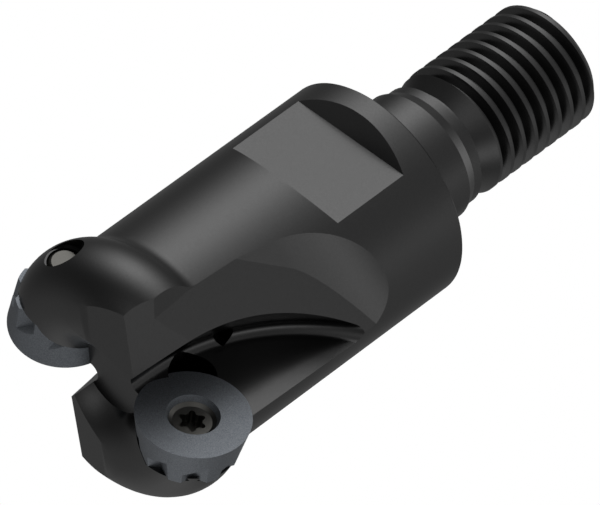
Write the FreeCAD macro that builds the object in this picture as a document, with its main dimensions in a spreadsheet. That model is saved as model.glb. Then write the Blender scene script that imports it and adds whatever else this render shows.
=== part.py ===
import FreeCAD, Part
import Sketcher
import math
import os
from types import SimpleNamespace

# Screw-in milling cutter head: a turned steel body with two gullets, two round
# inserts and their screws. +Z points to the nose, and the origin is the centre
# of the seating face. Insert 1 lies towards +X, and the head repeats every
# half turn about Z. Lengths are millimetres and angles degrees.

FULL_TURN = 360
HALF_TURN = 180
RIGHT_ANGLE = 90

driving_sizes = {
    # shank, measured down from the seating face
    "pilot_radius": 6.25,
    "pilot_length": 5.3,
    "relief_radius": 5.85,
    "relief_start": 6.3,
    "relief_end": 7.2,
    "neck_radius": 5.05,
    "neck_start": 7.5,
    "neck_end": 7.9,
    "thread_radius": 6.0,
    "thread_start": 9.4,
    "thread_end": 22.0,
    "thread_chamfer": 0.7,
    # turned head, measured up from the seating face
    "body_radius": 10.5,
    "flare_round": 2.0,
    "nose_round": 4.5,
    "web_drop": 2.7,
    # wrench flats
    "wrench_width": 17.0,
    "wrench_start": 3.3,
    "wrench_length": 8.0,
    "wrench_ramp": 30.0,
    "wrench_turn": 3.2,
    # round insert and where it sits
    "insert_reach": 7.52,
    "insert_offset": 0.39,
    "insert_height": 29.8,
    "insert_rake": 4.85,
    "insert_radius": 5.0,
    "insert_thickness": 3.97,
    "insert_relief": 11.0,
    "countersink_radius": 2.31,
    "countersink_slope": 25.0,
    "insert_hole_radius": 1.75,
    "pocket_gap": 0.04,
    # notches under the insert, and the stop that fills one of them
    "notch_count": 8,
    "notch_root_radius": 3.45,
    "notch_root_drop": 2.9,
    "notch_phase": -41.7,
    "notch_wall_turn": 65.8,
    "notch_wall_draft": 11.9,
    "notch_back_turn": 51.5,
    "notch_back_draft": 7.1,
    "notch_pitch_tilt": 29.3,
    "notch_roll_tilt": 20.6,
    "stop_radius": 1.35,
    "stop_reach": 5.2,
    "stop_phase": -39.25,
    "stop_rise": 0.4,
    # insert screw
    "screw_radius": 1.5,
    "screw_sink": 0.5,
    "screw_length": 7.7,
    "screw_tip_radius": 1.1,
    "screw_tip_length": 0.4,
    "screw_gap": 0.02,
    "recess_radius": 1.06,
    "recess_lobe_angle": 11.0,
    "recess_phase": 15.4,
    "recess_depth": 1.1,
    "screw_exit_radius": 1.7,
    "screw_exit_drop": 8.0,
    # gullet floor and the undercut groove along it
    "floor_drop": 0.41,
    "floor_rake": 2.66,
    "floor_slope": 4.63,
    "groove_sweep": 21.0,
    "groove_inset": 4.82,
    "groove_drop": 0.3,
    "groove_fillet": 0.95,
    "groove_lean": 28.5,
    # gullet wall and the scoop where it runs out
    "wall_turn": 33.0,
    "wall_lean": 1.82,
    "wall_distance": 8.87,
    "face_turn": 11.7,
    "face_distance": 5.06,
    "scoop_turn": 28.45,
    "scoop_tilt": 15.0,
    "scoop_radius": 12.93,
    "scoop_axis_reach": 20.92,
    "scoop_axis_height": 16.72,
    "scoop_lean": 7.0,
    # relief behind the insert, and the clearance ground on the nose
    "corner_radius": 2.1,
    "corner_reach": 4.68,
    "corner_phase": 135.0,
    "corner_rise": 1.5,
    "land_rise": 4.2,
    "land_slope": 11.8,
    "land_fall": 3.5,
    "land_start": 0.6,
    "heel_turn": 14.4,
    "heel_lean": 26.6,
    "heel_distance": 18.64,
    "heel_start": -0.15,
    # coolant bore and its two outlets
    "bore_radius": 2.5,
    "bore_end": 14.0,
    "outlet_radius": 0.75,
    "outlet_start": 15.9,
    "outlet_offset": 0.65,
    "outlet_tilt": 27.7,
    "outlet_length": 7.4,
    "outlet_back": 2.0,
    # room that the cutting shapes need beyond the metal
    "cut_room": 16.0,
}


# A size knows its number and the sheet expression that it comes from
class Size:
    def __init__(self, value, text):
        self.value = float(value)
        self.text = text

    def __add__(self, other):
        return Size(self.value + amount(other), f"({self.text} + {words(other)})")

    def __radd__(self, other):
        return Size(amount(other) + self.value, f"({words(other)} + {self.text})")

    def __sub__(self, other):
        return Size(self.value - amount(other), f"({self.text} - {words(other)})")

    def __rsub__(self, other):
        return Size(amount(other) - self.value, f"({words(other)} - {self.text})")

    def __mul__(self, other):
        return Size(self.value * amount(other), f"({self.text} * {words(other)})")

    def __truediv__(self, other):
        return Size(self.value / amount(other), f"({self.text} / {words(other)})")

    def __neg__(self):
        return Size(-self.value, f"(0 - {self.text})")


def amount(size):
    return size.value if isinstance(size, Size) else float(size)


def words(size):
    return size.text if isinstance(size, Size) else f"({size})"


def sine(angle):
    return Size(math.sin(math.radians(amount(angle))), f"sin({words(angle)})")


def cosine(angle):
    return Size(math.cos(math.radians(amount(angle))), f"cos({words(angle)})")


def tangent(angle):
    return sine(angle) / cosine(angle)


def root(size):
    return Size(math.sqrt(amount(size)), f"sqrt({words(size)})")


def polar(radius, angle):
    return (cosine(angle) * radius, sine(angle) * radius)


doc = FreeCAD.newDocument("MillingCutterHead")
sheet = doc.addObject("Spreadsheet::Sheet", "Sizes")
for row, (name, value) in enumerate(driving_sizes.items(), start=1):
    sheet.set(f"A{row}", name)
    sheet.set(f"B{row}", str(value))
    sheet.setAlias(f"B{row}", name)
doc.recompute()
size = SimpleNamespace(**{
    name: Size(value, f"Sizes.{name}") for name, value in driving_sizes.items()
})


# Frames are written as placement expressions and chained with a star
def shift(x, y, z):
    return f"placement(vector({words(x)}; {words(y)}; {words(z)}); rotation(vector(0; 0; 1); 0))"


def turn(axis, angle):
    vector = {"x": "1; 0; 0", "y": "0; 1; 0", "z": "0; 0; 1"}[axis]
    return f"placement(vector(0; 0; 0); rotation(vector({vector}); {words(angle)}))"


def chain(*frames):
    return " * ".join(frames)


def bind(piece, frame=None, **sizes):
    for name, value in sizes.items():
        setattr(piece, name, amount(value))
        piece.setExpression(name, words(value))
    if frame:
        piece.setExpression("Placement", frame)
    return piece


def cylinder(name, radius, height, frame):
    return bind(doc.addObject("Part::Cylinder", name), frame, Radius=radius, Height=height)


def cone(name, low_radius, high_radius, height, frame):
    piece = doc.addObject("Part::Cone", name)
    return bind(piece, frame, Radius1=low_radius, Radius2=high_radius, Height=height)


def box(name, length, width, height, frame):
    piece = doc.addObject("Part::Box", name)
    return bind(piece, frame, Length=length, Width=width, Height=height)


def join(name, pieces):
    piece = doc.addObject("Part::MultiFuse", name)
    piece.Shapes = pieces
    return piece


def overlap(name, pieces):
    piece = doc.addObject("Part::MultiCommon", name)
    piece.Shapes = pieces
    return piece


def cut(name, base, tool):
    piece = doc.addObject("Part::Cut", name)
    piece.Base = base
    piece.Tool = tool
    return piece


# Pin one end of a sketch edge at a corner of the outline
def pin(sketch, edge, end, corner):
    for kind, axis_edge, along in (("DistanceX", -2, corner[0]), ("DistanceY", -1, corner[1])):
        if amount(along) == 0:
            sketch.addConstraint(Sketcher.Constraint("PointOnObject", edge, end, axis_edge))
            continue
        index = sketch.addConstraint(Sketcher.Constraint(kind, -1, 1, edge, end, amount(along)))
        sketch.setExpression(f"Constraints[{index}]", words(along))


# An arc from start to finish, with its centre on the left of the way for a
# positive radius. Returns the arc and which of its ends is the start.
def arc_between(start, finish, radius):
    chord = finish - start
    side = FreeCAD.Vector(-chord.y, chord.x, 0) / chord.Length
    reach = math.sqrt(max(radius ** 2 - (chord.Length / 2) ** 2, 0))
    centre = (start + finish) / 2 + side * math.copysign(reach, radius)
    first, last = (start, finish) if radius > 0 else (finish, start)
    angles = [math.atan2(end.y - centre.y, end.x - centre.x) for end in (first, last)]
    circle = Part.Circle(centre, FreeCAD.Vector(0, 0, 1), abs(radius))
    return Part.ArcOfCircle(circle, *angles), (1 if radius > 0 else 2)


# A closed outline through corners given as (x, y) or (x, y, radius), where the
# radius bends the edge that leaves the corner
def outline(name, corners, frame=None):
    sketch = doc.addObject("Sketcher::SketchObject", name)
    ends = []
    for index, corner in enumerate(corners):
        following = corners[(index + 1) % len(corners)]
        start = FreeCAD.Vector(amount(corner[0]), amount(corner[1]), 0)
        finish = FreeCAD.Vector(amount(following[0]), amount(following[1]), 0)
        if len(corner) == 2:
            edge = sketch.addGeometry(Part.LineSegment(start, finish))
            ends.append((edge, 1))
            continue
        arc, start_end = arc_between(start, finish, amount(corner[2]))
        edge = sketch.addGeometry(arc)
        ends.append((edge, start_end))
        radius = corner[2] if amount(corner[2]) > 0 else -corner[2]
        index = sketch.addConstraint(Sketcher.Constraint("Radius", edge, amount(radius)))
        sketch.setExpression(f"Constraints[{index}]", words(radius))
    for (edge, start_end), (next_edge, next_start), corner in zip(
            ends, ends[1:] + ends[:1], corners):
        sketch.addConstraint(
            Sketcher.Constraint("Coincident", edge, 3 - start_end, next_edge, next_start))
        pin(sketch, edge, start_end, corner)
    if frame:
        sketch.setExpression("Placement", frame)
    return sketch


def revolve(name, sketch, frame=None):
    piece = doc.addObject("Part::Revolution", name)
    piece.Source = sketch
    piece.Axis = FreeCAD.Vector(0, 0, 1)
    piece.Angle = FULL_TURN
    piece.Solid = True
    return bind(piece, frame)


def extrude(name, sketch, length, direction, frame=None, back=0):
    piece = doc.addObject("Part::Extrusion", name)
    piece.Base = sketch
    piece.DirMode = "Custom"
    piece.Dir = FreeCAD.Vector(*direction)
    piece.Solid = True
    return bind(piece, frame, LengthFwd=length, LengthRev=back)


UPRIGHT = turn("x", RIGHT_ANGLE)


# Frame of one side's insert: Z is the rake normal and X points outwards
def insert_frame(side_turn):
    seat = shift(size.insert_reach, size.insert_offset, size.insert_height)
    return chain(turn("z", side_turn), seat, turn("x", -(size.insert_rake + RIGHT_ANGLE)))


# Frame of the gullet floor below that insert
def floor_frame(side_turn):
    seat = shift(size.insert_reach, size.insert_offset - size.floor_drop, size.insert_height)
    tilt = turn("x", -(size.floor_rake + RIGHT_ANGLE))
    return chain(turn("z", side_turn), seat, turn("z", -size.floor_slope), tilt)


# The turned blank, with the shank below and the hollow nose above
def turned_blank():
    top = size.insert_height + size.nose_round
    nose_side = size.insert_reach + size.nose_round
    # the nose ring meets the barrel in a hollow round that touches both
    across = size.body_radius + size.flare_round - size.insert_reach
    between = size.nose_round + size.flare_round
    drop = root(between * between - across * across)
    share = size.nose_round / between
    flare_start = size.insert_height - drop
    flare_end = (size.insert_reach + across * share, size.insert_height - drop * share)
    # the web between the teeth lies below the top of that ring
    crease_rise = size.nose_round - size.web_drop
    crease = size.insert_reach - root(
        size.nose_round * size.nose_round - crease_rise * crease_rise)
    web_height = top - size.web_drop
    corners = [
        (0, -size.thread_end),
        (size.thread_radius - size.thread_chamfer, -size.thread_end),
        (size.thread_radius, size.thread_chamfer - size.thread_end),
        (size.thread_radius, -size.thread_start),
        (size.neck_radius, -size.neck_end),
        (size.neck_radius, -size.neck_start),
        (size.relief_radius, -size.relief_end),
        (size.relief_radius, -size.relief_start),
        (size.pilot_radius, -size.pilot_length),
        (size.pilot_radius, 0),
        (size.body_radius, 0),
        (size.body_radius, flare_start, -size.flare_round),
        (*flare_end, size.nose_round),
        (nose_side, size.insert_height, size.nose_round),
        (size.insert_reach, top, size.nose_round),
        (crease, web_height),
        (0, web_height),
    ]
    return revolve("TurnedBlank", outline("BlankSection", corners, UPRIGHT))


# Both wrench flats, each with a ramp at its ends
def wrench_flats():
    floor = size.wrench_width / 2
    room = size.body_radius - floor + 1
    run = tangent(size.wrench_ramp) * room
    finish = size.wrench_start + size.wrench_length
    corners = [
        (floor, size.wrench_start),
        (floor + room, size.wrench_start - run),
        (floor + room, finish + run),
        (floor, finish),
    ]
    flats = []
    for number, side_turn in enumerate((0, HALF_TURN), start=1):
        frame = turn("z", size.wrench_turn + RIGHT_ANGLE + side_turn)
        sketch = outline(f"FlatSection{number}", corners, chain(frame, UPRIGHT))
        sweep = extrude(f"FlatSweep{number}", sketch, size.cut_room, (0, 0, 1), back=size.cut_room)
        sweep.DirMode = "Normal"
        flats.append(sweep)
    return flats


# The undercut groove that a round cutter leaves along the gullet floor, and
# its straight run out through the nose
def groove(number, side_turn):
    lean = tangent(size.groove_lean)
    fillet = size.groove_fillet
    leave_across = cosine(size.groove_lean) * fillet
    leave_up = fillet + sine(size.groove_lean) * fillet
    outer = size.groove_sweep
    top = size.cut_room
    corners = [
        (outer / 2, 0),
        (outer, 0, fillet),
        (outer + leave_across, leave_up),
        (outer + leave_across - lean * (top - leave_up), top),
        (outer / 2, top),
    ]
    to_axis = size.groove_sweep - size.groove_inset
    frame = chain(
        floor_frame(side_turn), shift(to_axis, size.groove_drop, 0), turn("z", HALF_TURN))
    ring_sketch = outline(f"GrooveSection{number}", corners, UPRIGHT)
    ring = revolve(f"GrooveRing{number}", ring_sketch, frame)
    run = extrude(f"GrooveRun{number}", ring_sketch, size.cut_room, (0, 1, 0), frame)
    return [ring, run]


# The slanting gullet wall, which runs out in a scoop towards the shank. A
# narrow upright face trims its corner where the nose ring bulges.
def wall(number, side_turn):
    reach = size.scoop_axis_reach
    height = size.scoop_axis_height
    radius = size.scoop_radius
    lean = size.scoop_lean
    leave_reach = reach - cosine(lean) * radius
    leave_height = height - sine(lean) * radius
    outside = size.body_radius + 2
    enter_drop = root(radius * radius - (reach - outside) * (reach - outside))
    top = size.insert_height + size.cut_room
    corners = [
        (outside, height - enter_drop, -radius),
        (leave_reach, leave_height),
        (leave_reach - tangent(lean) * (top - leave_height), top),
        (outside + 2, top),
        (outside + 2, height - enter_drop),
    ]
    wide = size.cut_room * 4
    half = size.cut_room * 2
    frame = chain(turn("z", size.scoop_turn + side_turn), turn("x", size.scoop_tilt))
    sketch = outline(f"ScoopSection{number}", corners, chain(frame, UPRIGHT))
    scoop = extrude(f"Scoop{number}", sketch, half, (0, 0, 1), back=half)
    scoop.DirMode = "Normal"
    face = box(f"FaceSide{number}", wide, wide, wide, chain(
        turn("z", size.face_turn + side_turn), shift(size.face_distance, -half, -half)))
    lean_frame = chain(turn("z", size.wall_turn + side_turn), turn("y", -size.wall_lean))
    beyond = box(f"WallSide{number}", wide, wide, wide,
                 chain(lean_frame, shift(size.wall_distance, -half, -half)))
    above = box(f"FloorSide{number}", wide, wide, size.cut_room,
                chain(floor_frame(side_turn), shift(-half, -half, 0)))
    return overlap(f"GulletWall{number}", [scoop, face, beyond, above])


# Seat of the insert: its own cone with a little room, less the round stop
def pocket(number, side_turn):
    frame = insert_frame(side_turn)
    seat_radius = size.insert_radius - tangent(size.insert_relief) * size.insert_thickness
    room = cone(
        f"PocketRoom{number}", seat_radius + size.pocket_gap, size.insert_radius + size.pocket_gap,
        size.insert_thickness, chain(frame, shift(0, 0, -size.insert_thickness)))
    stop_place = polar(size.stop_reach, size.stop_phase)
    stop = cylinder(
        f"Stop{number}", size.stop_radius, size.stop_rise,
        chain(frame, shift(*stop_place, -size.insert_thickness)))
    corner_place = polar(size.corner_reach, size.corner_phase)
    corner = cylinder(
        f"CornerRelief{number}", size.corner_radius, size.insert_thickness + size.corner_rise,
        chain(frame, shift(*corner_place, -size.insert_thickness)))
    hole = cylinder(
        f"ScrewHole{number}", size.screw_radius + size.screw_gap, size.cut_room,
        chain(frame, shift(0, 0, -size.cut_room)))
    exit_hole = cylinder(
        f"ScrewExit{number}", size.screw_exit_radius, size.cut_room,
        chain(frame, shift(0, 0, -(size.screw_exit_drop + size.cut_room))))
    return [cut(f"Pocket{number}", room, stop), corner, hole, exit_hole]


# Clearance ground on the nose behind one tooth, and the bevel on its heel
def nose_land(number, side_turn):
    half = size.cut_room
    land_frame = chain(
        turn("z", side_turn), shift(0, 0, size.insert_height + size.land_rise),
        turn("y", size.land_slope), turn("x", -size.land_fall), shift(-half, size.land_start, 0))
    heel_frame = chain(
        turn("z", size.heel_turn + side_turn), turn("y", -size.heel_lean),
        shift(size.heel_distance, size.heel_start, 0))
    return [
        box(f"NoseLand{number}", half * 2, half, half, land_frame),
        box(f"HeelBevel{number}", half, half, size.heel_distance * 2, heel_frame),
    ]


# Coolant leaves the bore through a slanting hole into the groove
def outlet(number, side_turn):
    frame = chain(
        turn("z", side_turn), shift(0, size.outlet_offset, size.outlet_start),
        turn("y", size.outlet_tilt), shift(0, 0, -size.outlet_back))
    length = size.outlet_length + size.outlet_back
    return cylinder(f"Outlet{number}", size.outlet_radius, length, frame)


def cutter_body():
    tools = wrench_flats()
    tools.append(cylinder("CoolantBore", size.bore_radius, size.thread_end + size.bore_end,
                          shift(0, 0, -size.thread_end)))
    tools.append(cone("BoreTip", size.bore_radius, 0, size.bore_radius / 2,
                      shift(0, 0, size.bore_end)))
    for number, side_turn in enumerate((0, HALF_TURN), start=1):
        tools += groove(number, side_turn)
        tools.append(wall(number, side_turn))
        tools += pocket(number, side_turn)
        tools += nose_land(number, side_turn)
        tools.append(outlet(number, side_turn))
    return cut("cutter_body", turned_blank(), join("BodyCuts", tools))


# One notch under the insert: two walls that meet at a root and close in below
# a ceiling, which tilts down towards the root
def notch_tool(index):
    pitch = FULL_TURN / driving_sizes["notch_count"]
    wide = size.insert_radius * 2
    spread = (wide, wide, wide)
    seat_root = chain(
        turn("z", size.notch_phase + index * pitch),
        shift(size.notch_root_radius, 0, -size.insert_thickness))
    wall_frame = chain(
        seat_root, turn("z", size.notch_wall_turn), turn("x", size.notch_wall_draft),
        shift(-size.insert_radius, -wide, -size.insert_radius))
    back_frame = chain(
        seat_root, turn("z", -size.notch_back_turn), turn("x", -size.notch_back_draft),
        shift(-size.insert_radius, 0, -size.insert_radius))
    ceiling_frame = chain(
        seat_root, shift(0, 0, size.insert_thickness - size.notch_root_drop),
        turn("y", -size.notch_pitch_tilt), turn("x", size.notch_roll_tilt),
        shift(-size.insert_radius, -size.insert_radius, -wide))
    return overlap(f"Notch{index + 1}", [
        box(f"NotchWall{index + 1}", *spread, wall_frame),
        box(f"NotchBack{index + 1}", *spread, back_frame),
        box(f"NotchCeiling{index + 1}", *spread, ceiling_frame),
    ])


# Both inserts are the same notched disc
def inserts():
    seat_radius = size.insert_radius - tangent(size.insert_relief) * size.insert_thickness
    sink = (size.countersink_radius - size.insert_hole_radius) / tangent(size.countersink_slope)
    corners = [
        (size.insert_hole_radius, -size.insert_thickness),
        (seat_radius, -size.insert_thickness),
        (size.insert_radius, 0),
        (size.countersink_radius, 0),
        (size.insert_hole_radius, -sink),
    ]
    disc = revolve("InsertDisc", outline("InsertSection", corners, UPRIGHT))
    notches = join("Notches", [notch_tool(index) for index in range(driving_sizes["notch_count"])])
    return [
        bind(cut(f"insert_{number}", disc, notches), insert_frame(side_turn))
        for number, side_turn in enumerate((0, HALF_TURN), start=1)
    ]


# Six lobes joined by hollow flanks
def recess_tool(number):
    half_lobe = size.recess_lobe_angle
    pitch = FULL_TURN / 6
    lobe_round = sine(half_lobe) * size.recess_radius * 1.02
    flank_round = sine(pitch / 2 - half_lobe) * size.recess_radius * 1.42
    corners = []
    for index in range(6):
        low = polar(size.recess_radius, size.recess_phase + index * pitch - half_lobe)
        high = polar(size.recess_radius, size.recess_phase + index * pitch + half_lobe)
        corners.append((*low, lobe_round))
        corners.append((*high, -flank_round))
    sketch = outline(f"RecessPlan{number}", corners)
    return extrude(f"Recess{number}", sketch, size.recess_depth, (0, 0, -1),
                   shift(0, 0, -size.screw_sink))


def insert_screw(number, side_turn):
    slope = tangent(size.countersink_slope)
    gap = size.screw_gap
    head_radius = size.countersink_radius - slope * size.screw_sink - gap
    shank_drop = size.screw_sink + (head_radius - size.screw_radius) / slope
    tip = size.screw_sink + size.screw_length
    corners = [
        (0, -tip),
        (size.screw_tip_radius, -tip),
        (size.screw_radius, size.screw_tip_length - tip),
        (size.screw_radius, -shank_drop),
        (head_radius, -size.screw_sink),
        (0, -size.screw_sink),
    ]
    blank = revolve(f"ScrewBlank{number}", outline(f"ScrewSection{number}", corners, UPRIGHT))
    piece = cut(f"insert_screw_{number}", blank, recess_tool(number))
    return bind(piece, insert_frame(side_turn))


def main():
    pieces = [cutter_body(), *inserts()]
    for number, side_turn in enumerate((0, HALF_TURN), start=1):
        pieces.append(insert_screw(number, side_turn))
    doc.recompute()
    failed = [item.Name for item in doc.Objects if "Invalid" in item.State or "Error" in item.State]
    if failed:
        raise SystemExit(f"failed: {failed}")
    os.makedirs("parts", exist_ok=True)
    for piece in pieces:
        piece.Label = piece.Name
        if piece.Shape.isNull() or not piece.Shape.isValid():
            raise SystemExit(f"bad shape: {piece.Label}")
    for piece in pieces:
        piece.Shape.exportStep(f"parts/{piece.Label}.step")
        box_now = piece.Shape.BoundBox
        print(piece.Label, len(piece.Shape.Solids), "solid", round(piece.Shape.Volume, 2), box_now)


main()
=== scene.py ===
import bmesh
import bpy
import math
import numpy as np
from mathutils import Matrix, Vector


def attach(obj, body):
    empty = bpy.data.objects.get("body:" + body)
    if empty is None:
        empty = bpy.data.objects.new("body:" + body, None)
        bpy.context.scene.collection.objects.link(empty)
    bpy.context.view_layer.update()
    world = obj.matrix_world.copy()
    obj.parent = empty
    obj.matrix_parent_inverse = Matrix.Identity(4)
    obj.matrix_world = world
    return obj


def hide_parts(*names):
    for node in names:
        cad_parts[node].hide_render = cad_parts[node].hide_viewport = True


# A screw-in milling cutter head: a turned and blackened steel body, two coated
# carbide inserts and their screws. Lengths are metres here, as in the frame.
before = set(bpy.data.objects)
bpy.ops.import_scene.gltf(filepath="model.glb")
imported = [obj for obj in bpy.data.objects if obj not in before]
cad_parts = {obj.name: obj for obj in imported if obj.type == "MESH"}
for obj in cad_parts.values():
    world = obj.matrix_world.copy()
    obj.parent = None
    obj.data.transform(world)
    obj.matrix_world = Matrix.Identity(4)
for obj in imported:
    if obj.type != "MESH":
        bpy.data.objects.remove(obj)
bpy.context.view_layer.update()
millimetre = 0.001
weldDistance = 0.0002 * millimetre      # corners nearer than this are one


# The sRGB curve, from a hex colour to linear light
def toLinear(hexColour):
    channels = [int(hexColour[start:start + 2], 16) / 255 for start in (1, 3, 5)]
    linear = [c / 12.92 if c <= 0.04045 else ((c + 0.055) / 1.055) ** 2.4 for c in channels]
    return (*linear, 1.0)


def addNode(tree, kind, inputs=None, **settings):
    node = tree.nodes.new(kind)
    for name, value in settings.items():
        setattr(node, name, value)
    for key, value in (inputs or {}).items():
        if isinstance(value, bpy.types.NodeSocket):
            tree.links.new(value, node.inputs[key])
        else:
            node.inputs[key].default_value = value
    return node


def newMaterial(name):
    material = bpy.data.materials.new(name)
    material.use_nodes = True
    tree = material.node_tree
    tree.nodes.clear()
    output = addNode(tree, "ShaderNodeOutputMaterial")
    return material, tree, output


# Steel blackened in hot salts: a dark film over metal, satin, with a faint grain
blackOxide = {
    "colour": "#434343",
    "roughness": 0.24,
    "grainSize": 0.11 * millimetre,
    "grainDepth": 0.10,         # share by which the grain lightens and darkens
    "grainDetail": 2.0,
    "grainRoughness": 0.6,
    "grainRange": (0.3, 0.7),   # of the noise that spans from dark to light
}


def makeBlackOxide():
    material, tree, output = newMaterial("black oxide steel")
    place = addNode(tree, "ShaderNodeTexCoord").outputs["Object"]
    grain = addNode(tree, "ShaderNodeTexNoise", {
        "Vector": place, "Scale": 1 / blackOxide["grainSize"],
        "Detail": blackOxide["grainDetail"], "Roughness": blackOxide["grainRoughness"]})
    tone = addNode(tree, "ShaderNodeMapRange", {
        "Value": grain.outputs["Fac"],
        "From Min": blackOxide["grainRange"][0], "From Max": blackOxide["grainRange"][1],
        "To Min": 1 - blackOxide["grainDepth"], "To Max": 1 + blackOxide["grainDepth"]})
    colour = addNode(tree, "ShaderNodeVectorMath", {
        0: toLinear(blackOxide["colour"])[:3]}, operation="SCALE")
    tree.links.new(tone.outputs["Result"], colour.inputs["Scale"])
    surface = addNode(tree, "ShaderNodeBsdfPrincipled", {
        "Base Color": colour.outputs["Vector"], "Metallic": 1.0,
        "Roughness": blackOxide["roughness"]})
    tree.links.new(surface.outputs["BSDF"], output.inputs["Surface"])
    return material


# Sintered carbide under a vapour-deposited coating: grey, dull and finely speckled
coatedCarbide = {
    "colour": "#7f8388",
    "darkSpeck": "#62666b",
    "roughness": 0.52,
    "speckSize": 0.09 * millimetre,
    "speckDetail": 3.0,
    "speckRoughness": 0.7,
    "speckRange": (0.36, 0.64),
}


def makeCoatedCarbide():
    material, tree, output = newMaterial("coated carbide")
    place = addNode(tree, "ShaderNodeTexCoord").outputs["Object"]
    specks = addNode(tree, "ShaderNodeTexNoise", {
        "Vector": place, "Scale": 1 / coatedCarbide["speckSize"],
        "Detail": coatedCarbide["speckDetail"], "Roughness": coatedCarbide["speckRoughness"]})
    share = addNode(tree, "ShaderNodeMapRange", {
        "Value": specks.outputs["Fac"],
        "From Min": coatedCarbide["speckRange"][0], "From Max": coatedCarbide["speckRange"][1]})
    # Sockets 6 and 7 of a colour mix are its two colours, and output 2 is the mix
    colour = addNode(tree, "ShaderNodeMix", data_type="RGBA")
    tree.links.new(share.outputs["Result"], colour.inputs[0])
    colour.inputs[6].default_value = toLinear(coatedCarbide["darkSpeck"])
    colour.inputs[7].default_value = toLinear(coatedCarbide["colour"])
    surface = addNode(tree, "ShaderNodeBsdfPrincipled", {
        "Base Color": colour.outputs[2], "Metallic": 1.0,
        "Roughness": coatedCarbide["roughness"]})
    tree.links.new(surface.outputs["BSDF"], output.inputs["Surface"])
    return material


# Hardened screw steel, browned and left as turned
screwSteel = {
    "colour": "#5a5956",
    "roughness": 0.36,
    "roughnessSwing": 0.06,
    "turningPitch": 0.12 * millimetre,
    "turningDetail": 2.0,
}


def makeScrewSteel():
    material, tree, output = newMaterial("hardened screw steel")
    place = addNode(tree, "ShaderNodeTexCoord").outputs["Object"]
    marks = addNode(tree, "ShaderNodeTexNoise", {
        "Vector": place, "Scale": 1 / screwSteel["turningPitch"],
        "Detail": screwSteel["turningDetail"]})
    rough = addNode(tree, "ShaderNodeMapRange", {
        "Value": marks.outputs["Fac"],
        "To Min": screwSteel["roughness"] - screwSteel["roughnessSwing"],
        "To Max": screwSteel["roughness"] + screwSteel["roughnessSwing"]})
    surface = addNode(tree, "ShaderNodeBsdfPrincipled", {
        "Base Color": toLinear(screwSteel["colour"]), "Metallic": 1.0,
        "Roughness": rough.outputs["Result"]})
    tree.links.new(surface.outputs["BSDF"], output.inputs["Surface"])
    return material


def mergedCopy(node, name):
    copy = bpy.data.meshes.new(name)
    work = bmesh.new()
    work.from_mesh(node.data)
    work.transform(node.matrix_world)
    bmesh.ops.remove_doubles(work, verts=work.verts, dist=weldDistance)
    work.to_mesh(copy)
    work.free()
    return copy


def placeMesh(mesh, name):
    piece = bpy.data.objects.new(name, mesh)
    bpy.context.scene.collection.objects.link(piece)
    return piece


# What the modifiers make of a piece, as a plain mesh
def evaluatedMesh(piece):
    bpy.context.view_layer.update()
    evaluated = piece.evaluated_get(bpy.context.evaluated_depsgraph_get())
    return bpy.data.meshes.new_from_object(evaluated)


def growByNodes(holder, tree, values):
    modifier = holder.modifiers.new(tree.name, "NODES")
    modifier.node_group = tree
    sockets = {item.name: item.identifier for item in tree.interface.items_tree
               if item.item_type == "SOCKET" and item.in_out == "INPUT"}
    for name, value in values.items():
        modifier[sockets[name]] = value
    grown = evaluatedMesh(holder)
    holder.modifiers.remove(modifier)
    return grown


def cutBy(piece, tool):
    modifier = piece.modifiers.new("cut", "BOOLEAN")
    modifier.operation = "DIFFERENCE"
    modifier.solver = "EXACT"
    modifier.object = tool
    cut = evaluatedMesh(piece)
    piece.modifiers.remove(modifier)
    piece.data = cut
    bpy.data.objects.remove(tool)


def isWatertight(mesh):
    work = bmesh.new()
    work.from_mesh(mesh)
    closed = all(edge.is_manifold for edge in work.edges)
    work.free()
    return closed


# A solid turned from a closed outline of radius and height pairs
def turnedSolid(name, outline, steps):
    poleGap, sliver = weldDistance / 20, weldDistance / 200
    work = bmesh.new()
    rings = []
    for step in range(steps):
        angle = 2 * math.pi * step / steps
        rings.append([work.verts.new((math.cos(angle) * radius, math.sin(angle) * radius, height))
                      for radius, height in outline])
    count = len(outline)
    for step in range(steps):
        here, there = rings[step], rings[(step + 1) % steps]
        for index in range(count):
            other = (index + 1) % count
            work.faces.new((here[index], there[index], there[other], here[other]))
    bmesh.ops.remove_doubles(work, verts=work.verts, dist=poleGap)
    bmesh.ops.dissolve_degenerate(work, edges=work.edges, dist=sliver)
    bmesh.ops.recalc_face_normals(work, faces=work.faces)
    mesh = bpy.data.meshes.new(name)
    work.to_mesh(mesh)
    work.free()
    return mesh


# Smooth shading that knows a crease from a facet. A smooth surface cut into facets
# bends by no more than eight tolerances over the facet's width at a seam, and what
# bends more is an edge of the metal. Turned surfaces also get normals that point
# straight away from their axis.
shading = {
    "tolerance": 0.01 * millimetre,    # how far the frame's facets stray from the solid
    "facetLimit": 0.105 * millimetre,  # bend times width, in radians and metres
    "flatBend": 0.12,                  # degrees: less than this is one flat face
    "softBend": 1.2,                   # less than this is never a crease
    "creaseBend": 27.0,                # more than this always is
    "leanSlack": 1.2,                  # on how far a turned facet may lean
    "leanRoom": 0.004,                 # radians, for rounding
    "leastRadius": 0.001 * millimetre,
    "axisRadius": 0.01 * millimetre,   # nearer the axis than this, no side is outward
    "leastLength": 1e-9,               # these two keep a division from failing
    "leastArea": 1e-20,
}


# Joins things that belong together: every item gets the number of its own set
def joinSets(count, pairs):
    parent = list(range(count))

    def rootOf(item):
        while parent[item] != item:
            parent[item] = parent[parent[item]]
            item = parent[item]
        return item

    for first, second in pairs:
        parent[rootOf(first)] = rootOf(second)
    return np.array([rootOf(item) for item in range(count)])


def listBySet(names):
    members = {}
    for item, name in enumerate(names):
        members.setdefault(name, []).append(item)
    return members


# What is left of vectors once their part along a direction is taken out
def acrossFrom(vectors, direction):
    return vectors - np.outer(vectors @ direction, direction)


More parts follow.
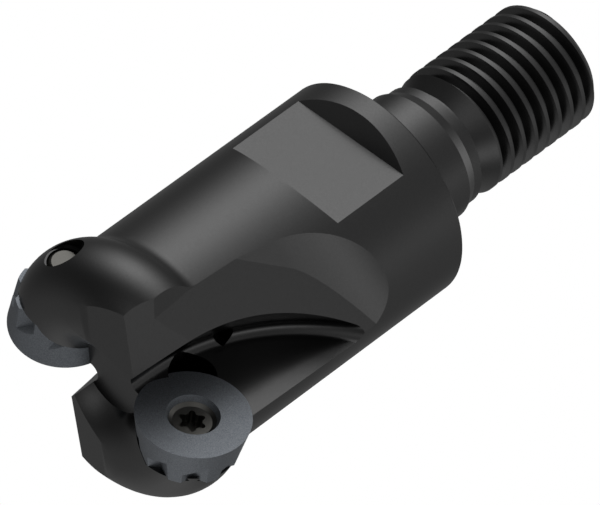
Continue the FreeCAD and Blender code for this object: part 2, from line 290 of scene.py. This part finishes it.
# The mesh as arrays: points, each triangle's corners, each corner's edge, edge ends
def readTriangles(mesh):
    work = bmesh.new()
    work.from_mesh(mesh)
    bmesh.ops.triangulate(work, faces=work.faces)
    work.to_mesh(mesh)
    work.free()
    points = np.empty(len(mesh.vertices) * 3)
    mesh.vertices.foreach_get("co", points)
    corners = np.empty(len(mesh.loops), dtype=int)
    mesh.loops.foreach_get("vertex_index", corners)
    cornerEdges = np.empty(len(mesh.loops), dtype=int)
    mesh.loops.foreach_get("edge_index", cornerEdges)
    ends = np.empty(len(mesh.edges) * 2, dtype=int)
    mesh.edges.foreach_get("vertices", ends)
    return points.reshape(-1, 3), corners.reshape(-1, 3), cornerEdges, ends.reshape(-1, 2)


# Edges that are creases: sharp by their bend alone, or bent too far for their width
def findCreases(points, ends, bends, sides, facePoints):
    sharp = bends > shading["creaseBend"]
    for edge in np.flatnonzero(~sharp & (bends > shading["softBend"])):
        start = points[ends[edge, 0]]
        along = points[ends[edge, 1]] - start
        along /= np.linalg.norm(along)
        widths = [np.linalg.norm(acrossFrom(facePoints[side] - start, along), axis=1).max()
                  for side in sides[edge]]
        sharp[edge] = math.radians(bends[edge]) * min(widths) > shading["facetLimit"]
    return sharp


# The axis that a flat facet was turned about, if there is one
def axisOfFacet(own, normal, axes):
    for number, (centre, direction) in enumerate(axes):
        away = acrossFrom(own - centre, direction)
        radius = np.linalg.norm(away, axis=1)
        around = np.cross(direction, away)
        around = around / np.maximum(radius, shading["leastLength"])[:, None]
        halfWidth = np.sqrt(2 * shading["tolerance"] / np.maximum(radius, shading["leastRadius"]))
        allowed = halfWidth * shading["leanSlack"] + shading["leanRoom"]
        if np.all(np.abs(around @ normal) < allowed):
            return number
    return None


def shadeLikeMetal(mesh, axes):
    points, corners, cornerEdges, ends = readTriangles(mesh)
    normals = np.cross(points[corners[:, 1]] - points[corners[:, 0]],
                       points[corners[:, 2]] - points[corners[:, 0]])
    areas = np.linalg.norm(normals, axis=1)
    normals /= np.maximum(areas, shading["leastArea"])[:, None]

    # The two triangles at each edge, and how far the surface bends there
    order = np.argsort(cornerEdges, kind="stable")
    firstFace, secondFace = order[0::2] // 3, order[1::2] // 3
    cosines = np.einsum("ij,ij->i", normals[firstFace], normals[secondFace])
    bends = np.degrees(np.arccos(np.clip(cosines, -1, 1)))

    # Triangles that lie in one plane are one facet, with one normal
    flat = bends < shading["flatBend"]
    facet = joinSets(len(corners), zip(firstFace[flat], secondFace[flat]))
    facetNormals, facetPoints = {}, {}
    for name, faces in listBySet(facet).items():
        total = (normals[faces] * areas[faces][:, None]).sum(axis=0)
        facetNormals[name] = total / np.linalg.norm(total)
        facetPoints[name] = points[np.unique(corners[faces])]
    sides = np.stack((facet[firstFace], facet[secondFace]), axis=1)
    sharp = findCreases(points, ends, bends, sides, facetPoints)
    turnedAbout = {name: axisOfFacet(own, facetNormals[name], axes)
                   for name, own in facetPoints.items()}

    # Corners that meet over smooth edges share one normal
    joined = []
    for edge in np.flatnonzero(~sharp):
        for end in ends[edge]:
            joined.append([face * 3 + int(np.flatnonzero(corners[face] == end)[0])
                           for face in (firstFace[edge], secondFace[edge])])
    fans = listBySet(joinSets(len(corners) * 3, joined))
    smooth = np.empty((len(corners) * 3, 3))
    for own in fans.values():
        names = sorted({facet[corner // 3] for corner in own})
        total = sum(facetNormals[name] for name in names)
        about = {turnedAbout[name] for name in names}
        if len(about) == 1 and None not in about:
            centre, direction = axes[about.pop()]
            around = np.cross(direction, points[corners[own[0] // 3, own[0] % 3]] - centre)
            length = np.linalg.norm(around)
            if length > shading["axisRadius"]:
                around = around / length
                total = total - (total @ around) * around
        smooth[own] = total / np.linalg.norm(total)

    mesh.polygons.foreach_set("use_smooth", [True] * len(mesh.polygons))
    mesh.attributes.new("sharp_edge", "BOOLEAN", "EDGE")
    mesh.attributes["sharp_edge"].data.foreach_set("value", sharp)
    mesh.normals_split_custom_set([tuple(normal) for normal in smooth])
    print("shaded", mesh.name, int(sharp.sum()), "creases of", len(sharp), "edges")


# Shades a finished piece, paints it, hangs it under the root and hides the frame's piece that it
# replaces
def handIn(piece, node, material, axes):
    shadeLikeMetal(piece.data, axes)
    piece.data.materials.clear()
    piece.data.materials.append(material)
    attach(piece, "root")
    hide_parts(node)


blackSteel = makeBlackOxide()
carbide = makeCoatedCarbide()
screwMetal = makeScrewSteel()
print("materials made")

# Where an insert sits: its top face, with Z out of the face and X away from the body
insertSeat = {
    "reach": 7.52 * millimetre,
    "offset": 0.39 * millimetre,
    "height": 29.8 * millimetre,
    "rake": 4.85,                       # degrees
}
seatFrames = [
    Matrix.Rotation(halfTurns * math.pi, 4, "Z")
    @ Matrix.Translation((insertSeat["reach"], insertSeat["offset"], insertSeat["height"]))
    @ Matrix.Rotation(-math.radians(insertSeat["rake"] + 90), 4, "X")
    for halfTurns in (0, 1)]

# The body is turned about Z, and each insert about the axis of its screw
bodyAxis = (np.zeros(3), np.array((0.0, 0.0, 1.0)))
insertAxes = [(np.array(seat.translation), np.array(seat.col[2][:3])) for seat in seatFrames]

# The shank's thread, cut into a merged copy of the solid body
threadSizes = {
    "pitch": 1.5 * millimetre,
    "majorRadius": 6.0 * millimetre,
    "depth": 0.78 * millimetre,
    "crestWidth": 0.40 * millimetre,
    "rootWidth": 0.20 * millimetre,
    "firstGroove": -9.02 * millimetre,
    "lastGroove": -23.3 * millimetre,
    "runOut": 0.42,             # of a turn, where the groove rises out of the surface
    "runOutRoom": 0.1 * millimetre,
    "endAngle": 300,            # degrees about Z where the groove ends, by the neck
    "profileTurn": -math.pi / 2,
    "pointsPerTurn": 72,
    "room": 0.2 * millimetre,   # how far the cutting shape stands out of the metal
}


# The helical groove as a solid to cut with: a trapezoid swept along a helix that
# rises out of the metal over its last part of a turn
def makeGrooveTree(material):
    tree = bpy.data.node_groups.new("thread groove", "GeometryNodeTree")
    tree.interface.new_socket("Geometry", in_out="OUTPUT", socket_type="NodeSocketGeometry")
    for name in ("Turns", "Path Radius", "Length", "Mouth Width", "Root Width", "Depth",
                 "Run Out Start", "Rise"):
        tree.interface.new_socket(name, in_out="INPUT", socket_type="NodeSocketFloat")
    tree.interface.new_socket("Points Per Turn", in_out="INPUT", socket_type="NodeSocketInt")
    given = addNode(tree, "NodeGroupInput").outputs
    helix = addNode(tree, "GeometryNodeCurveSpiral", {
        "Resolution": given["Points Per Turn"], "Rotations": given["Turns"],
        "Start Radius": given["Path Radius"], "End Radius": given["Path Radius"],
        "Height": given["Length"], "Reverse": True})
    along = addNode(tree, "GeometryNodeSplineParameter").outputs["Factor"]
    lift = addNode(tree, "ShaderNodeMapRange", {
        "Value": along, "From Min": given["Run Out Start"], "From Max": 1.0,
        "To Min": 0.0, "To Max": given["Rise"]})
    here = addNode(tree, "GeometryNodeInputPosition").outputs["Position"]
    flat = addNode(tree, "ShaderNodeVectorMath", {0: here, 1: (1, 1, 0)}, operation="MULTIPLY")
    outward = addNode(tree, "ShaderNodeVectorMath", {0: flat.outputs["Vector"]},
                      operation="NORMALIZE")
    push = addNode(tree, "ShaderNodeVectorMath", {
        0: outward.outputs["Vector"], "Scale": lift.outputs["Result"]}, operation="SCALE")
    path = addNode(tree, "GeometryNodeSetPosition", {
        "Geometry": helix.outputs["Curve"], "Offset": push.outputs["Vector"]})
    upright = addNode(tree, "GeometryNodeSetCurveNormal", {
        "Curve": path.outputs["Geometry"]}, mode="Z_UP")
    profile = addNode(tree, "GeometryNodeCurvePrimitiveQuadrilateral", {
        "Bottom Width": given["Root Width"], "Top Width": given["Mouth Width"],
        "Offset": 0.0, "Height": given["Depth"]}, mode="TRAPEZOID")
    turned = addNode(tree, "GeometryNodeTransform", {
        "Geometry": profile.outputs["Curve"], "Rotation": (0, 0, threadSizes["profileTurn"])})
    swept = addNode(tree, "GeometryNodeCurveToMesh", {
        "Curve": upright.outputs["Curve"], "Profile Curve": turned.outputs["Geometry"],
        "Fill Caps": True})
    real = addNode(tree, "GeometryNodeRealizeInstances", {"Geometry": swept.outputs["Mesh"]})
    painted = addNode(tree, "GeometryNodeSetMaterial", {
        "Geometry": real.outputs["Geometry"], "Material": material})
    last = addNode(tree, "NodeGroupOutput")
    tree.links.new(painted.outputs["Geometry"], last.inputs["Geometry"])
    return tree


# The groove in its place round the shank, with its faces pointing outwards
def makeGroove():
    length = threadSizes["firstGroove"] - threadSizes["lastGroove"]
    turns = length / threadSizes["pitch"]
    flank = (threadSizes["pitch"] - threadSizes["crestWidth"] - threadSizes["rootWidth"]) / 2
    slope = flank / threadSizes["depth"]
    height = threadSizes["depth"] + threadSizes["room"]
    holder = placeMesh(bpy.data.meshes.new("groove"), "groove")
    mesh = growByNodes(holder, makeGrooveTree(blackSteel), {
        "Turns": turns,
        "Path Radius": threadSizes["majorRadius"] - threadSizes["depth"] + height / 2,
        "Length": length,
        "Mouth Width": threadSizes["rootWidth"] + 2 * slope * height,
        "Root Width": threadSizes["rootWidth"],
        "Depth": height,
        "Run Out Start": 1 - threadSizes["runOut"] / turns,
        "Rise": threadSizes["depth"] + threadSizes["runOutRoom"],
        "Points Per Turn": threadSizes["pointsPerTurn"],
    })
    startAngle = math.radians(threadSizes["endAngle"]) - 2 * math.pi * turns
    mesh.transform(Matrix.Translation((0, 0, threadSizes["lastGroove"]))
                   @ Matrix.Rotation(startAngle, 4, "Z"))
    work = bmesh.new()
    work.from_mesh(mesh)
    bmesh.ops.recalc_face_normals(work, faces=work.faces)
    print("groove solid:", len(work.faces), "faces, volume",
          round(work.calc_volume(signed=True) / millimetre ** 3, 2), "mm3")
    work.to_mesh(mesh)
    work.free()
    holder.data = mesh
    return holder


body = placeMesh(mergedCopy(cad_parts["cutter_body"], "threaded body"), "threaded_body")
print("body merged:", len(body.data.vertices), "vertices, closed", isWatertight(body.data))
cutBy(body, makeGroove())
print("thread cut:", len(body.data.polygons), "faces, closed", isWatertight(body.data))

# The sharp edge round the seat is broken by a small chamfer
seatEdge = {
    "radius": 10.5 * millimetre,
    "chamfer": 0.18 * millimetre,
    "room": 0.3 * millimetre,   # how far the cutting shape stands out of the metal
    "steps": 144,
}
outside, edgeRoom = seatEdge["radius"] + seatEdge["room"], seatEdge["room"]
cutBy(body, placeMesh(turnedSolid("seat chamfer", [
    (seatEdge["radius"] - seatEdge["chamfer"] - edgeRoom, -edgeRoom),
    (outside, -edgeRoom),
    (outside, seatEdge["chamfer"] + edgeRoom),
], seatEdge["steps"]), "seat_chamfer"))
print("seat edge broken, closed", isWatertight(body.data))
handIn(body, "cutter_body", blackSteel, [bodyAxis, *insertAxes])

# The screw's head is faced a little deeper than the solid's and its star cut wider.
# Depths are below the insert's face.
screwHead = {
    "edgeRadius": 2.2 * millimetre,
    "edgeDepth": 0.42 * millimetre,
    "faceRadius": 1.70 * millimetre,
    "faceDepth": 0.80 * millimetre,
    "steps": 96,
    "lobes": 6,
    "starRadius": 1.24 * millimetre,
    "starWaist": 0.80 * millimetre,
    "starPhase": 15.4,                  # degrees
    "starDepth": 2.1 * millimetre,
    "starRise": 0.5 * millimetre,       # above the insert's face
    "lobePoints": 24,                   # round each lobe and its hollow
}


# A prism with the lobed plan of the driver's tip
def starPrism(name):
    work = bmesh.new()
    middle = (screwHead["starRadius"] + screwHead["starWaist"]) / 2
    swing = (screwHead["starRadius"] - screwHead["starWaist"]) / 2
    count = screwHead["lobes"] * screwHead["lobePoints"]
    low, high = [], []
    for index in range(count):
        angle = 2 * math.pi * index / count
        radius = middle + swing * math.cos(screwHead["lobes"] * angle)
        direction = angle + math.radians(screwHead["starPhase"])
        place = (radius * math.cos(direction), radius * math.sin(direction))
        low.append(work.verts.new((*place, -screwHead["starDepth"])))
        high.append(work.verts.new((*place, screwHead["starRise"])))
    for index in range(count):
        other = (index + 1) % count
        work.faces.new((low[index], low[other], high[other], high[index]))
    work.faces.new(list(reversed(low)))
    work.faces.new(high)
    mesh = bpy.data.meshes.new(name)
    work.to_mesh(mesh)
    work.free()
    return mesh


def finishScrew(piece, seat):
    facing = turnedSolid("head facing", [
        (0, -screwHead["faceDepth"]),
        (screwHead["faceRadius"], -screwHead["faceDepth"]),
        (screwHead["edgeRadius"], -screwHead["edgeDepth"]),
        (screwHead["edgeRadius"], 0),
        (0, 0),
    ], screwHead["steps"])
    for mesh in (facing, starPrism("driver star")):
        mesh.transform(seat)
        cutBy(piece, placeMesh(mesh, "screw_cutter"))


for number, (axis, seat) in enumerate(zip(insertAxes, seatFrames), start=1):
    insert = placeMesh(mergedCopy(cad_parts[f"insert_{number}"],
                                  f"cutting insert {number}"), f"cutting_insert_{number}")
    handIn(insert, f"insert_{number}", carbide, [axis])
    screw = placeMesh(mergedCopy(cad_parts[f"insert_screw_{number}"],
                                 f"clamping screw {number}"), f"clamping_screw_{number}")
    finishScrew(screw, seat)
    handIn(screw, f"insert_screw_{number}", screwMetal, [axis])
print("inserts and screws dressed")

# Each soft box stands where one surface mirrors it into the camera. Its azimuth
# and elevation are in degrees, and then come its tightness and its strength.
softBoxes = {
    "key": (126, -30, 10, 2.55),        # for the wrench flat and the barrel's upper side
    "keyWing": (85, -28, 10, 0.50),     # for the pilot and the cone
    "front": (40, -30, 10, 0.20),       # for the barrel's right end
    "sideLow": (357, -12, 24, 0.65),    # for the inner end of the scoop
    "sideHigh": (352, 15, 24, 1.15),    # for the outer end of the scoop
    "sideWash": (0, 0, 4, 0.15),        # for the thread's lower flanks
    "under": (320, -35, 14, 0.15),      # for the barrel's lower edge
    "below": (350, -62, 14, 1.60),      # for the underside of the nose
    "back": (285, 27, 8, 0.65),         # for the flanks of the inserts
    "top": (215, 48, 8, 0.30),          # for the crown of the nose
    "beside": (70, 40, 8, 0.65),        # from beside the camera, into the gullet
}
roomGlow = 0.13                         # what comes from everywhere else
white = (1, 1, 1, 1)


# One soft lobe for each box, and plain white behind the object. Reflections see the
# boxes and not the white, which would turn the black steel flat grey.
def lightWorld():
    world = bpy.data.worlds.new("studio")
    world.use_nodes = True
    tree = world.node_tree
    tree.nodes.clear()
    direction = addNode(tree, "ShaderNodeTexCoord").outputs["Generated"]
    unit = addNode(tree, "ShaderNodeVectorMath", {0: direction},
                   operation="NORMALIZE").outputs["Vector"]
    total = roomGlow
    for azimuth, elevation, tightness, strength in softBoxes.values():
        turn, rise = math.radians(azimuth), math.radians(elevation)
        centre = (math.cos(rise) * math.cos(turn), math.cos(rise) * math.sin(turn),
                  math.sin(rise))
        facing = addNode(tree, "ShaderNodeVectorMath", {0: unit, 1: centre},
                         operation="DOT_PRODUCT").outputs["Value"]
        falling = addNode(tree, "ShaderNodeMath", {0: facing, 1: 1.0}, operation="SUBTRACT")
        power = addNode(tree, "ShaderNodeMath", {0: falling.outputs[0], 1: tightness},
                        operation="MULTIPLY")
        glow = addNode(tree, "ShaderNodeMath", {0: power.outputs[0]}, operation="EXPONENT")
        total = addNode(tree, "ShaderNodeMath", {
            0: glow.outputs[0], 1: strength, 2: total}, operation="MULTIPLY_ADD").outputs[0]
    boxes = addNode(tree, "ShaderNodeBackground", {"Color": white, "Strength": total})
    ground = addNode(tree, "ShaderNodeBackground", {"Color": white, "Strength": 1.0})
    path = addNode(tree, "ShaderNodeLightPath")
    straight = addNode(tree, "ShaderNodeMath", {
        0: path.outputs["Is Camera Ray"], 1: path.outputs["Is Transmission Ray"]},
        operation="MAXIMUM")
    mixed = addNode(tree, "ShaderNodeMixShader", {
        0: straight.outputs[0], 1: boxes.outputs[0], 2: ground.outputs[0]})
    output = addNode(tree, "ShaderNodeOutputWorld")
    tree.links.new(mixed.outputs[0], output.inputs["Surface"])
    bpy.context.scene.world = world


lightWorld()
bpy.context.scene.view_settings.view_transform = "Standard"
print("studio lit")

# The camera, as fitted to the photo
viewPoint = {
    "position": (307.17, 537.68, 376.07),   # millimetres
    "right": (0.7166, 0.0645, -0.6945),
    "up": (-0.5522, 0.6608, -0.5084),
    "lens": 507.3,                          # this and the film are in millimetres
    "filmWidth": 36.0,
    "nearest": 0.05,                        # metres, where the view begins and ends
    "farthest": 5.0,
}
right, up = Vector(viewPoint["right"]), Vector(viewPoint["up"])
back = right.cross(up).normalized()
right = up.cross(back).normalized()
up = back.cross(right)
aim = Matrix((right, up, back)).transposed().to_4x4()
lens = bpy.data.cameras.new("photo camera")
lens.lens = viewPoint["lens"]
lens.sensor_width = viewPoint["filmWidth"]
lens.clip_start = viewPoint["nearest"]
lens.clip_end = viewPoint["farthest"]
camera = bpy.data.objects.new("photo_camera", lens)
camera.matrix_world = Matrix.Translation(Vector(viewPoint["position"]) * millimetre) @ aim
bpy.context.scene.collection.objects.link(camera)
bpy.context.scene.camera = camera
print("camera set")
